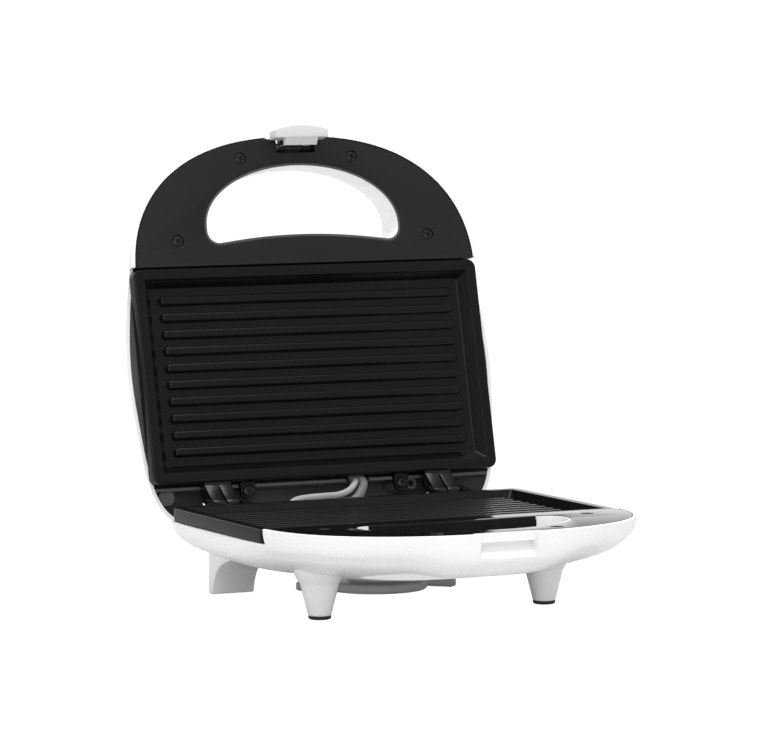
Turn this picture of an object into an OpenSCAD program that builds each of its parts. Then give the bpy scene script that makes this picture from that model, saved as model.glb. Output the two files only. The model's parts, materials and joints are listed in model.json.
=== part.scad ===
// Two-plate sandwich and panini press, lid standing open.
// Millimetres. +X right, +Y back (hinge side), +Z up, origin under the middle of the open press.
// The lid pieces are drawn closed, then swung about the hinge line to the open rest pose.

/* [Plates] */
// Width of each heated plate
plate_w = 222.8; // [200:0.1:224]
// Depth of each heated plate
plate_d = 126.6; // [110:0.1:140]
// Depth of the pan inside the flat rim
pan_depth = 6.2; // [4:0.1:8]
// Height of a grill rib over the pan floor
rib_h = 3; // [1.5:0.1:4]
// Spacing of the ribs
rib_pitch = 9.9; // [8:0.1:12]
// Number of ribs
ribs = 10; // [6:1:12]

/* [Casing] */
// Wall thickness of the mouldings
wall = 2.2; // [1.8:0.1:2.4]
// Height of the closing plane between the halves
part_z = 54.2; // [50:0.1:60]
// Thickness of the handle covers
cover_t = 2.5; // [2:0.1:3.5]

/* [Hinge] */
// Height of the hinge line
hinge_z = 50; // [48:0.1:52]
// Distance of the hinge line behind the plates' front edge
hinge_y = 142; // [140:0.1:145]
// Opening angle of the lid at its stop
open_deg = 103.4; // [90:0.1:110]
// Radius of a hinge pin
pin_r = 2; // [1.5:0.1:3]

/* [Hidden] */
$fn = 48;
shift_y = -65.8;
P = part_z;
lower_rim = 45.4;
upper_rim = 63.0;

// ---- helpers ----
function cl(t) = max(0, min(1, t));
function ss(t) = cl(t) * cl(t) * (3 - 2 * cl(t));
function sg(v) = v < 0 ? -1 : 1;
function se(a, b, p, t) = [a * sg(cos(t)) * pow(abs(cos(t)), 2 / p), b * sg(sin(t)) * pow(abs(sin(t)), 2 / p)];

// Smooth curve through points, n steps between neighbours, first point left out
function spline(p, n) = [for (i = [0:len(p) - 2]) for (j = [1:n])
 let (t = j / n, a = p[max(i - 1, 0)], b = p[i], c = p[i + 1], d = p[min(i + 2, len(p) - 1)])
 0.5 * (2 * b + (c - a) * t + (2 * a - 5 * b + 4 * c - d) * t * t + (3 * b - a - 3 * c + d) * t * t * t)];

// Plan outline of a half: handle bow in front, swelling sides, squared-off back, counter-clockwise
bow_y = 7.6;
bow_p = 2.378;
function bow(a, b, t0, n) = [for (i = [0:n]) se(a, b, bow_p, 180 + t0 + (180 - 2 * t0) * i / n) + [0, bow_y]];
side = spline([[112.35, 0], [115.6, 24], [117.9, 62], [115.1, 100], [112, 122], [107.3, 137], [98.8, 147],
 [84, 152.8], [50, 155], [0, 155.3]], 2);
outline = concat(bow(112.5, 86.7, 3.17, 32), side, [for (i = [len(side) - 2:-1:0]) [-side[i][0], side[i][1]]]);

// Profiles: [share of the plan radius, height], from the closing edge to the middle, for the
// handle's front, the handle's ends and the sides. The lid's heights are negative, for the flip.
mid = [0, 50];
LF = [[1, 54], [0.9995, 50], [0.998, 46], [0.992, 42], [0.979, 38.2], [0.95, 34.8], [0.9, 30.8],
      [0.835, 27.9], [0.7, 25.3], [0.6, 23.6], [0.51, 22], [0.4, 20.7], [0.25, 20]];
LE = [[1, 54], [0.996, 50], [0.985, 46], [0.967, 42.7], [0.936, 39.5], [0.902, 36.2], [0.848, 33],
      [0.778, 29.9], [0.733, 28.2], [0.63, 25.1], [0.515, 22], [0.42, 20.7], [0.3, 20]];
LS = [[1, 54], [1, 49.5], [1, 45.4], [0.99, 41.6], [0.977, 38.2], [0.956, 35], [0.917, 31.7],
      [0.852, 28.5], [0.787, 26], [0.7, 23.8], [0.59, 21.8], [0.5, 20], [0.3, 20]];
UF = [[1, -0.2], [0.9995, -4], [0.99, -7.5], [0.972, -10.5], [0.945, -13], [0.91, -15], [0.87, -16.6],
      [0.8, -18.8], [0.7, -21.6], [0.58, -25.4], [0.46, -28.8], [0.34, -31.6], [0.2, -33.8]];
UE = [[1, -0.2], [0.997, -4], [0.985, -8], [0.968, -11], [0.94, -14], [0.905, -16.5], [0.85, -19],
      [0.77, -22], [0.68, -25], [0.57, -28], [0.46, -30.8], [0.33, -33], [0.2, -34.3]];
US = [[1, -0.2], [1, -5], [1, -8.8], [0.988, -12], [0.97, -15.5], [0.943, -19.5], [0.9, -23.5],
      [0.85, -26.8], [0.78, -29.5], [0.69, -31.7], [0.57, -33.3], [0.42, -34.2], [0.25, -34.5]];
// How a wall thickness splits into inward and upward parts down the profile
CI = [1, 1, 1, 0.95, 0.85, 0.7, 0.5, 0.35, 0.2, 0.1, 0, 0, 0];
CU = [0, 0, 0.05, 0.25, 0.5, 0.7, 0.85, 0.95, 1, 1, 1, 1, 1];

// Point k down the profile below outline point q, moved in by the wall thickness t. The front
// profile fades in over A[4] millimetres beyond A[3] in front of the plates.
function lp(A, k, q, t) =
 let (f = ss((-A[3] - q[1]) / A[4]), g = ss((q[1] + 20) / 70),
      h = f * A[0][k] + g * A[2][k] + (1 - f - g) * A[1][k],
      r = h[0] - t * CI[k] / norm(q - mid))
 [q[0] * r, mid[1] + (q[1] - mid[1]) * r, h[1] + t * CU[k]];

module loft(A, t, lift) {
 n = len(outline);
 m = len(A[0]);
 top = A[0][0][1];
 end = A[2][m - 1][1];
 rings = concat(
  [if (lift > 0) for (q = outline) lp(A, 0, q, t) + [0, 0, lift]],
  [for (k = [lift > 0 ? 1 : 0:m - 1]) for (q = outline) lp(A, k, q, t)]);
 mm = len(rings) / n;
 pts = concat(rings, [[3.7, 43.1, top + lift], [0, mid[1], end + t]]);
 polyhedron(pts, concat(
  [for (k = [0:mm - 2]) for (i = [0:n - 1]) [k * n + i, k * n + (i + 1) % n, (k + 1) * n + (i + 1) % n]],
  [for (k = [0:mm - 2]) for (i = [0:n - 1]) [k * n + i, (k + 1) * n + (i + 1) % n, (k + 1) * n + i]],
  [for (i = [0:n - 1]) [mm * n, (i + 1) % n, i]],
  [for (i = [0:n - 1]) [(mm - 1) * n + i, (mm - 1) * n + (i + 1) % n, mm * n + 1]]), convexity = 6);
}

// Finger opening of the handle, grown by o
function op(o) = concat(
 [for (t = [180:7.5:360]) [(63.9 + o) * cos(t), -24 + (37.1 + o) * sin(t)]],
 [for (t = [0:15:90]) [54.9 + (9 + o) * cos(t), -21.4 + (9 + o) * sin(t)]],
 [for (x = [48:-8:-48]) [x, -16.5 + x * x / 710 + o]],
 [for (t = [90:15:180]) [-54.9 + (9 + o) * cos(t), -21.4 + (9 + o) * sin(t)]]);
// Outline of a handle cover
cov = bow(109.75, 84, 3.65, 48);

module prism(p, z0, z1) translate([0, 0, z0]) linear_extrude(z1 - z0) polygon(p);
module box(a, b) translate(a) cube(b - a);
module cyl(x, y, z0, z1, r) translate([x, y, z0]) cylinder(h = z1 - z0, r = r);
module xcyl(x0, x1, y, z, r) translate([x0, y, z]) rotate([0, 90, 0]) cylinder(h = x1 - x0, r = r);
// Prism along X from an outline in Y and Z
module xprism(p, x0, x1) translate([x0, 0, 0]) rotate([90, 0, 90]) linear_extrude(x1 - x0) polygon(p);
module flip() translate([0, 0, 2 * P]) mirror([0, 0, 1]) children();
module place() translate([0, shift_y, 0]) children();
// Swing a lid piece from closed to the open rest pose
module swing() place() translate([0, hinge_y, hinge_z]) rotate([-open_deg, 0, 0])
 translate([0, -hinge_y, -hinge_z]) children();

// Round tube through points, closed at both ends
module tube(p, r, ref, n = 10) {
 m = len(p);
 d = [for (i = [0:m - 1]) let (v = i == 0 ? p[1] - p[0] : i == m - 1 ? p[i] - p[i - 1] : p[i + 1] - p[i - 1]) v / norm(v)];
 u = [for (i = [0:m - 1]) let (c = cross(d[i], ref)) c / norm(c)];
 v = [for (i = [0:m - 1]) cross(d[i], u[i])];
 pts = concat([for (i = [0:m - 1]) for (j = [0:n - 1]) p[i] + r * (cos(360 * j / n) * u[i] + sin(360 * j / n) * v[i])],
  [p[0], p[m - 1]]);
 polyhedron(pts, concat(
  [for (i = [0:m - 2]) for (j = [0:n - 1]) [i * n + j, (i + 1) * n + j, (i + 1) * n + (j + 1) % n]],
  [for (i = [0:m - 2]) for (j = [0:n - 1]) [i * n + j, (i + 1) * n + (j + 1) % n, i * n + (j + 1) % n]],
  [for (j = [0:n - 1]) [m * n, j, (j + 1) % n]],
  [for (j = [0:n - 1]) [m * n + 1, (m - 1) * n + (j + 1) % n, (m - 1) * n + j]]), convexity = 6);
}

// Cross-head screw, head on top, pointing down
module screw(x, y, z, hr, hh, r, len) translate([x, y, z]) difference() {
 union() {
  translate([0, 0, -hh]) cylinder(h = hh, r = hr, $fn = 36);
  translate([0, 0, -hh - len]) cylinder(h = len + 0.2, r = r, $fn = 24);
 }
 rotate([0, 0, 20]) translate([-hr * 0.6, -0.35, -hh * 0.65]) cube([hr * 1.2, 0.7, hh]);
 rotate([0, 0, 110]) translate([-hr * 0.6, -0.35, -hh * 0.65]) cube([hr * 1.2, 0.7, hh]);
}

// ---- shared positions ----
cover_scr = [[-36.3, -64.2], [36.3, -64.2], [-81.5, -15.8], [81.5, -15.8]];
ear_x = 50;
ear_y = plate_d + 5.7;
refl_boss = [[-88, 28], [88, 28], [-88, 98], [88, 98]];
foot = [[-70.5, 14.8], [70.5, 14.8]];
lamp = [[-12, 4], [12, 4]];
wire_notch = [14.5, 29.5];
latch_y = -71;
latch_z = 60;
LOW = [LF, LE, LS, 73.5, 5.5];
UPP = [UF, UE, US, 35, 35];
tz = P - 0.25;             // outer face of the base's handle cover
cz = tz - cover_t;         // its underside

// ---- base and lid casings, drawn as the base ----
module cavity_posts(low) {
 // bulkhead between the handle and the hot compartment
 box([-112, -3.4, low], [112, -1.2, cz - 0.05]);
 // ledge beside the plate
 for (s = [-1, 1]) box([s * 119.2 - 10.8, -2, 42.6], [s * 119.2 + 10.8, 129, lower_rim - 0.3]);
 // bulkhead behind the plate
 difference() {
  box([-112, 128, low], [112, 129.8, lower_rim]);
  for (s = [-1, 1]) box([s * ear_x - 5.2, 127, 43.7], [s * ear_x + 5.2, 131, 60]);
 }
 // cover posts
 for (p = cover_scr) difference() {
  cyl(p[0], p[1], low, cz - 0.05, 3.7);
  cyl(p[0], p[1], cz - 12, 70, 1.5);
 }
 // plate posts
 for (s = [-1, 1]) difference() {
  cyl(s * ear_x, ear_y, low, 43.93, 4);
  cyl(s * ear_x, ear_y, 31, 70, 1.5);
 }
 // sleeve round the finger opening
 prism(op(0.6), low, cz - 0.05);
 prism(op(-0.15), low, tz - 0.3);
}

module lower_housing() color([0.93, 0.93, 0.935]) place() difference() {
 union() {
  loft(LOW, 0, 0);
  for (p = foot) translate([p[0], p[1], 0]) rotate_extrude()
   polygon([[0, 2], [5.8, 2], [6.5, 2.7], [10.6, 18.5], [12, 21.5], [14, 25], [15.2, 29], [15.6, 34], [0, 34]]);
  for (s = [-1, 1]) xprism([[137.2, 0], [142.2, 0], [142.2, 33.6], [108, 33.6], [108, 25], [112, 22.6],
    [118, 20.8], [126, 17.5], [131.5, 13], [134.8, 8], [136.6, 3]], s * 68.25 - 13.25, s * 68.25 + 13.25);
  cyl(28, 124, 20.5, 27, 8.5);
 }
 difference() {
  loft(LOW, wall, 1);
  cavity_posts(15);
  // block behind the latch catch
  box([-20.5, -80, 34], [20.5, -65, cz - 0.05]);
  box([-19.6, -78, cz - 1], [19.6, -72, tz - 0.1]);
  // posts for the cord spool and the cord inlet
  for (s = [-1, 1]) cyl(s * 9, 89, 15, 32, 3.6);
  cyl(28, 124, 15, 27, 8.5);
 }
 prism(op(-1.6), -5, 80);
 // room for the black lining on the plate side of the opening
 intersection() {
  prism(op(0.1), 40.9, 70);
  box([-54.2, -19.5, 40], [50.2, -5, 70]);
 }
 // closing edge of the sides, a step lower than the handle
 box([-130, -1, lower_rim], [130, 170, 70]);
 // cut-out at the back where the lid's back wall swings in
 box([-80, 135, 31.8], [80, 170, 60]);
 // catch: band below the closing edge, pocket under it
 box([-17.6, -90, 48.5], [17.6, -73.6, 70]);
 xprism([[-90, 48.6], [-69, 48.6], [-69, 46.6], [-76.9, 40.3], [-90, 40.3]], -17.6, 17.6);
 // blind bores
 for (p = foot) {
  cyl(p[0], p[1], 1, 7.2, 2.55);
  translate([p[0], p[1], 9]) cylinder(h = 20, r1 = 4, r2 = 8.5);
 }
 for (s = [-1, 1]) cyl(s * 9, 89, 10, 30, 1.5);
 cyl(28, 124, 10, 40, 4.5);
 cyl(28, 124, 27.05, 40, 5.8);
}

module upper_housing() color([0.93, 0.93, 0.935]) swing() difference() {
 translate([0, 0, P]) mirror([0, 0, 1]) loft(UPP, 0, 0);
 difference() {
  translate([0, 0, P]) mirror([0, 0, 1]) loft(UPP, wall, 1);
  difference() {
   flip() cavity_posts(15);
   // notch where the wires leave for the base
   box([wire_notch[0], 126, upper_rim - 1], [wire_notch[1], 132, 70.5]);
  }
  // spare post by the right-hand plate post, half-round post near the left corner
  difference() {
   cyl(57.6, 132.6, 64.6, 95, 3.4);
   cyl(57.6, 132.6, 50, 74, 2);
  }
  cyl(-100, 133, 66, 95, 5);
  // rims of the lamp holes
  for (p = lamp) cyl(p[0], p[1], 79.8, 95, 5);
 }
 prism(op(-1.6), 20, 120);
 box([-130, -1, 20], [130, 170, upper_rim]);
 // room for the latch and its cradle in the front edge
 box([-18.2, -95, 50], [18.2, -75.5, 64.8]);
 box([-15.8, -80, 50], [15.8, -65.6, 64.8]);
 for (p = lamp) cyl(p[0], p[1], 60, 100, 3.3);
}

module cover_plate() difference() {
 prism(cov, cz, tz);
 prism(op(0), cz - 1, tz + 1);
 for (p = cover_scr) {
  cyl(p[0], p[1], cz - 1, tz + 1, 1.75);
  cyl(p[0], p[1], cz + 1, tz + 1, 3.6);
 }
}

module lower_handle_cover() color([0.1, 0.1, 0.105]) place() difference() {
 union() {
  cover_plate();
  // lining on the plate side of the finger opening
  difference() {
   intersection() {
    prism(op(0.02), 41, cz + 0.5);
    box([-54, -19.3, 41], [50, -5, cz + 0.5]);
   }
   prism(op(-1.6), 30, 70);
  }
 }
 box([-19.8, -90, 40], [19.8, -71.8, 70]);
}

module upper_handle_cover() color([0.12, 0.12, 0.122]) swing() difference() {
 union() {
  flip() cover_plate();
  // cradle that carries the latch pin
  box([-15.4, -67.2, 2 * P - tz], [15.4, -66.2, 64.4]);
  box([-15.4, -74.4, 63.5], [15.4, -66.2, 64.4]);
  for (s = [-1, 1]) box([s * 13.9 - 1.5, -74.4, 2 * P - tz], [s * 13.9 + 1.5, -66.2, 64.4]);
 }
 box([-12.4, -90, 50], [12.4, -67.2, 63.5]);
 box([-18.2, -90, 50], [18.2, -75.5, 70]);
 xcyl(-16, 16, latch_y, latch_z, 1.52);
}

// ---- heated plates, drawn as the lower one ----
module plate_body() {
 hx = plate_w / 2;
 top = P - 0.8;
 fl = top - pan_depth;
 difference() {
  union() {
   box([-hx + 5, 0, 45.5], [hx - 5, plate_d, top]);
   box([-hx, 5, 45.5], [hx, plate_d - 5, top]);
   for (x = [-hx + 5, hx - 5]) for (y = [5, plate_d - 5]) cyl(x, y, 45.5, top, 5);
   box([-hx + 3.2, 3.2, 44], [hx - 3.2, plate_d - 3.2, top - 1]);
   // stiffening rim on the underside
   difference() {
    box([-hx + 6, 6, 41.5], [hx - 6, plate_d - 6, 44.5]);
    box([-hx + 8, 8, 30], [hx - 8, plate_d - 8, 44]);
   }
   for (s = [-1, 1]) {
    box([s * ear_x - 4.6, plate_d - 3, 44], [s * ear_x + 4.6, ear_y, 47]);
    cyl(s * ear_x, ear_y, 44, 47, 4.6);
   }
  }
  // pan with sloping walls
  polyhedron([[-hx + 11, 11, fl], [hx - 11, 11, fl], [hx - 11, plate_d - 11, fl], [-hx + 11, plate_d - 11, fl],
    [-hx + 6.36, 6.36, top + 1], [hx - 6.36, 6.36, top + 1], [hx - 6.36, plate_d - 6.36, top + 1], [-hx + 6.36, plate_d - 6.36, top + 1]],
   [[0, 1, 2, 3], [7, 6, 5, 4], [4, 5, 1, 0], [5, 6, 2, 1], [6, 7, 3, 2], [7, 4, 0, 3]]);
  for (s = [-1, 1]) cyl(s * ear_x, ear_y, 40, 50, 1.8);
 }
 y0 = plate_d / 2 - (ribs - 1) * rib_pitch / 2;
 for (i = [0:ribs - 1]) translate([0, y0 + i * rib_pitch, fl - 0.5]) {
  translate([-92.3, -2.7, 0]) cube([184.6, 5.4, rib_h + 0.5]);
  for (s = [-1, 1]) translate([s * 92.3, 0, 0]) cylinder(h = rib_h + 0.5, r = 2.7, $fn = 32);
 }
 // posts under the plate for the reflector
 for (p = refl_boss) difference() {
  cyl(p[0], p[1], 36.1, 44.5, 4);
  cyl(p[0], p[1], 30, 43, 1.5);
 }
}
module lower_plate() color([0.13, 0.135, 0.13]) place() plate_body();
module upper_plate() color([0.13, 0.135, 0.13]) swing() flip() plate_body();

// Tubular element in a U under the plate, ends turned down through the reflector
module element() {
 c = 16;
 z = 40.7;
 pa = concat([[-25, 106, 29], [-25, 106, 35], [-27, 106, 39], [-31, 106, z]],
  [[-75 + c, 106, z]], [for (t = [90:18:180]) [-75 + c + c * cos(t), 106 - c + c * sin(t), z]],
  [for (t = [180:18:270]) [-75 + c + c * cos(t), 21 + c + c * sin(t), z]]);
 pb = [for (i = [len(pa) - 1:-1:0]) [-pa[i][0], pa[i][1], pa[i][2]]];
 tube(concat(pa, pb), 3.2, [0.02, 1, 0.05], 12);
 for (s = [-1, 1]) cyl(s * 25, 106, 24.5, 28.9, 1.2);
}
module lower_heating_element() color([0.55, 0.54, 0.52]) place() element();
module upper_heating_element() color([0.55, 0.54, 0.52]) swing() flip() element();

// Pressed reflector pan between element and casing
module reflector() difference() {
 union() {
  box([-96.2, 12, 35.1], [96.2, 116, 35.9]);
  for (s = [-1, 1]) box([s * 95.8 - 0.4, 12, 35.1], [s * 95.8 + 0.4, 116, 40]);
  for (y = [12.4, 115.6]) box([-96.2, y - 0.4, 35.1], [96.2, y + 0.4, 40]);
 }
 for (p = refl_boss) cyl(p[0], p[1], 30, 37, 1.8);
 for (s = [-1, 1]) cyl(s * 25, 106, 30, 37, 4.5);
 cyl(0, 63, 30, 37, 11);
}
module lower_heat_reflector() color([0.72, 0.72, 0.73]) place() reflector();
module upper_heat_reflector() color([0.72, 0.72, 0.73]) swing() flip() reflector();
module reflector_screws() for (p = refl_boss)
 translate([p[0], p[1], 35.08]) mirror([0, 0, 1]) translate([0, 0, 1.6]) screw(0, 0, 0, 3.2, 1.6, 1.45, 7);
module lower_reflector_screws() color([0.7, 0.7, 0.7]) place() reflector_screws();
module upper_reflector_screws() color([0.7, 0.7, 0.7]) swing() flip() reflector_screws();

module plate_screws() for (s = [-1, 1]) screw(s * ear_x, ear_y, 48.65, 3.3, 1.6, 1.45, 11);
module lower_plate_screws() color([0.12, 0.12, 0.12]) place() plate_screws();
module upper_plate_screws() color([0.12, 0.12, 0.12]) swing() flip() plate_screws();
module cover_screws() for (p = cover_scr) screw(p[0], p[1], cz + 2.45, 3.2, 1.4, 1.45, 9);
module lower_cover_screws() color([0.1, 0.1, 0.1]) place() cover_screws();
module upper_cover_screws() color([0.1, 0.1, 0.1]) swing() flip() cover_screws();

// ---- hinge ----
module lower_hinge_brackets() color([0.1, 0.1, 0.1]) place() for (s = [-1, 1]) {
 difference() {
  union() {
   box([min(s * 60.2, s * 83.4), plate_d + 0.05, 46], [max(s * 60.2, s * 83.4), plate_d + 2.05, 53.2]);
   for (q = [[60.2, 62.8], [80.4, 83.4]]) {
    a = min(s * q[0], s * q[1]);
    b = max(s * q[0], s * q[1]);
    xprism([[plate_d + 0.05, 46], [plate_d + 0.05, 53.2], [139.5, 54.5], [142, 49], [140, 45.8]], a, b);
    xcyl(a, b, hinge_y, hinge_z, 5.2);
   }
  }
  xcyl(s * 72 - 20, s * 72 + 20, hinge_y, hinge_z, pin_r + 0.02);
  translate([s * 71.8, 100, 49.6]) rotate([-90, 0, 0]) cylinder(h = 40, r = 1.75);
 }
}
module upper_hinge_brackets() color([0.1, 0.1, 0.1]) swing() for (s = [-1, 1]) {
 difference() {
  union() {
   box([min(s * 63.2, s * 79.9), plate_d + 0.05, 55.6], [max(s * 63.2, s * 79.9), plate_d + 2.05, 62.6]);
   for (q = [[63.2, 70.9], [72.2, 79.9]]) {
    a = min(s * q[0], s * q[1]);
    b = max(s * q[0], s * q[1]);
    xprism([[plate_d + 1, 56.2], [plate_d + 1, 62.6], [132.5, 62.6], [145.6, 53.8], [142, 50], [138.4, 46.6]], a, b);
    xcyl(a, b, hinge_y, hinge_z, 5.2);
   }
  }
  xcyl(s * 72 - 20, s * 72 + 20, hinge_y, hinge_z, pin_r + 0.06);
  translate([s * 71.55, 100, 59.2]) rotate([-90, 0, 0]) cylinder(h = 40, r = 1.75);
  translate([s * 71.55, plate_d + 2.05, 59.2]) rotate([-90, 0, 0]) cylinder(h = 8, r = 3.3);
 }
}
module hinge_pins() color([0.7, 0.7, 0.72]) place() for (s = [-1, 1]) {
 xcyl(s * 71.8 - 12.6, s * 71.8 + 12.6, hinge_y, hinge_z, pin_r);
 xcyl(s * 84.9 - 0.5, s * 84.9 + 0.5, hinge_y, hinge_z, pin_r + 1.2);
}
// Short screws that hold a bracket on the back wall of its plate
module back_screw(x, z) translate([x, 0, z]) rotate([-90, 0, 0]) difference() {
 union() {
  translate([0, 0, plate_d + 2.08]) cylinder(h = 1.5, r = 3, $fn = 32);
  translate([0, 0, plate_d + 0.02]) cylinder(h = 2.2, r = 1.6, $fn = 24);
 }
 translate([-1.8, -0.35, plate_d + 2.7]) cube([3.6, 0.7, 2]);
 translate([-0.35, -1.8, plate_d + 2.7]) cube([0.7, 3.6, 2]);
}
module lower_bracket_screws() color([0.35, 0.35, 0.35]) place() for (s = [-1, 1]) back_screw(s * 71.8, 49.6);
module upper_bracket_screws() color([0.35, 0.35, 0.35]) swing() for (s = [-1, 1]) back_screw(s * 71.55, 59.2);

// ---- underside ----
module front_foot_pads() color([0.05, 0.05, 0.05]) place() for (p = foot) {
 translate([p[0], p[1], 0]) rotate_extrude() polygon([[0, 0], [5.6, 0], [6.4, 0.7], [6.4, 1.97], [2.5, 1.97], [2.5, 7], [0, 7]]);
}
module cord_spool() color([0.8, 0.8, 0.81]) place() difference() {
 union() {
  translate([0, 89, 0]) rotate_extrude($fn = 72)
   polygon([[0, 4.6], [29, 4.6], [30, 5.6], [30, 8.8], [29, 9.8], [16, 9.8], [16, 19.97], [0, 19.97]]);
  for (s = [-1, 1]) translate([0, 88, 7]) rotate([0, 0, -15.4]) rotate([0, s * 90, 0]) {
   translate([0, 0, 27]) cylinder(h = 17, r1 = 1.8, r2 = 3, $fn = 32);
   translate([0, 0, 43.9]) cylinder(h = 2.6, r1 = 3, r2 = 2.2, $fn = 32);
  }
 }
 for (s = [-1, 1]) {
  cyl(s * 9, 89, 0, 25, 1.7);
  cyl(s * 9, 89, 0, 6.6, 3.6);
 }
 // cored out from above
 difference() {
  cyl(0, 89, 7.6, 30, 13.6);
  for (s = [-1, 1]) cyl(s * 9, 89, 0, 40, 3.6);
 }
}
module cord_spool_screws() color([0.6, 0.6, 0.6]) place() for (s = [-1, 1])
 translate([s * 9, 89, 4.95]) mirror([0, 0, 1]) screw(0, 0, 0, 3.3, 1.6, 1.45, 21.5);
module cord_gland() color([0.08, 0.08, 0.08]) place() translate([28, 124, 0]) rotate_extrude()
 polygon([[3.2, 18.9], [6.4, 18.9], [6.8, 19.3], [6.8, 20.45], [4.45, 20.45], [4.45, 27.1], [5.4, 27.6], [4.4, 29], [3.2, 29]]);

// ---- wiring ----
module terminal_block() color([0.9, 0.89, 0.85]) place() difference() {
 box([-22, 68, 22.6], [18, 80, 32.6]);
 for (x = [-15, -5, 5, 14]) {
  translate([x, 60, 26.2]) rotate([-90, 0, 0]) cylinder(h = 30, r = 2, $fn = 20);
  cyl(x, 74, 29, 40, 1.8);
 }
}
module thermal_fuse() color([0.75, 0.72, 0.6]) place() {
 xcyl(34, 52, 62, 28, 2.4);
 xcyl(30, 34.1, 62, 28, 0.7);
 xcyl(51.9, 56, 62, 28, 0.7);
}
module lower_wires() color([0.85, 0.85, 0.8]) place() {
 tube([[-15, 81, 26.2], [-15, 90, 25.2], [-19, 98, 25.6], [-27.6, 104, 25.6]], 1.2, [0, 0.1, 1], 8);
 tube([[14, 81, 26.2], [15, 90, 25.2], [21, 98, 25.6], [27.6, 104, 25.6]], 1.2, [0, 0.1, 1], 8);
 tube([[5, 66.9, 26.2], [8, 63.5, 26.6], [18, 62, 28], [28, 62, 28]], 1.2, [0, 0.1, 1], 8);
}
module upper_wires() color([0.85, 0.85, 0.8]) swing() flip() {
 tube([[-9, 70.5, 29], [-12, 78, 27], [-18, 94, 26], [-27.6, 104, 25.6]], 1.2, [0, 0.1, 1], 8);
 tube([[9, 70.5, 29], [12, 78, 27], [18, 94, 26], [27.6, 104, 25.6]], 1.2, [0, 0.1, 1], 8);
 tube([[0, 55, 29], [-2, 48, 26.4], [-6, 36, 25.2], [-11, 18, 26], [-12, 9.4, 30]], 1.2, [0, 0.1, 1], 8);
}
// Thermostat pressed to the back of the lid's plate, standing through the reflector
module thermostat() color([0.85, 0.82, 0.76]) swing() flip() difference() {
 union() {
  cyl(0, 63, 31.5, 40, 8.5);
  box([-17, 59, 42.6], [17, 67, 43.9]);
  cyl(0, 63, 39.9, 43.9, 5);
  for (s = [-1, 1]) box([s * 5 - 2.5, 62.5, 27], [s * 5 + 2.5, 63.3, 31.6]);
 }
 for (s = [-1, 1]) cyl(s * 13.5, 63, 38, 46, 1.7);
}
module thermostat_screws() color([0.7, 0.7, 0.7]) swing() flip() for (s = [-1, 1])
 translate([s * 13.5, 63, 41]) mirror([0, 0, 1]) screw(0, 0, 0, 2.9, 1.5, 1.45, 1.3);
module indicator_lamps() color([0.95, 0.6, 0.3]) swing() for (p = lamp) {
 cyl(p[0], p[1], 73.8, 79.3, 2.6);
 cyl(p[0], p[1], 73, 73.9, 1.4);
}
module indicator_lenses() color([0.75, 0.12, 0.08]) swing() for (p = lamp)
 translate([p[0], p[1], 0]) rotate_extrude($fn = 36)
  polygon([[0, 81], [3.2, 79.4], [3.2, 86], [2.6, 86.6], [1.4, 86.95], [0, 87]]);

// ---- latch, drawn closed ----
module latch() color([0.83, 0.83, 0.84]) swing() difference() {
 union() {
  // outer cap, bowed forward
  translate([0, 0, 43.2]) linear_extrude(9.4) polygon(concat(
   [for (i = [0:16]) let (x = -17 + 34 * i / 16) [x, -81.6 + 2.6 * pow(x / 17, 2)]],
   [[17, -74.3], [-17, -74.3]]));
  // tooth that hooks under the catch
  xprism([[-77, 43.2], [-75, 43.2], [-70.3, 46.9], [-70.3, 48.2], [-77, 48.2]], -10.7, 10.7);
  // web up to the pivot
  xprism([[-78.2, 50], [-75.4, 50], [-74.6, 55.5], [-73.2, 57.2], [-69.6, 58.4], [-69.6, 61.6], [-77, 61],
    [-78.2, 59.6]], -8.6, 11.6);
  xcyl(-8.6, 11.6, latch_y, latch_z, 2.9);
 }
 xcyl(-20, 20, latch_y, latch_z, 1.55);
 // room for the spring
 xcyl(-6, 6, latch_y, latch_z, 3.9);
}
module latch_pin() color([0.7, 0.7, 0.72]) swing() xcyl(-15.4, 15.4, latch_y, latch_z, 1.5);
module latch_spring() color([0.6, 0.6, 0.62]) swing()
 tube([for (i = [0:72]) [-5 + 10 * i / 72, latch_y + 2.6 * cos(i * 30), latch_z + 2.6 * sin(i * 30)]], 0.4, [1, 0, 0.001], 6);

// ---- wiring between the halves, drawn in the open pose ----
module wire_sleeve() color([0.82, 0.82, 0.8]) place()
 tube([[19.5, 164.5, 65], [19.6, 162.8, 62], [19.6, 160.3, 60.2], [19.4, 157, 60.1], [18.3, 153.4, 59.1],
   [15.2, 150, 56.9], [11, 148, 54.5], [3.5, 146, 52.8], [-6.5, 144, 52.8], [-16.5, 142, 52.7], [-25.2, 140, 52.1],
   [-30.5, 138.3, 50], [-33.5, 136.5, 46], [-34.5, 135, 40], [-34.5, 134, 33]], 1.9, [0.3, 1, 0.02], 12);
module wire_coil_guard() color([0.8, 0.8, 0.8]) place()
 tube([[24.8, 164.8, 64.5], [24.8, 163, 61.5], [24.7, 160.3, 59.6], [24.4, 157, 59.3], [23.6, 153.4, 57.6],
   [20.8, 150, 54.4], [16.4, 146.5, 50.8], [11.4, 143.8, 48.3], [6.5, 142, 45], [5, 140, 40], [5, 138.5, 34]],
  2.7, [0.3, 1, 0.02], 12);

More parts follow.
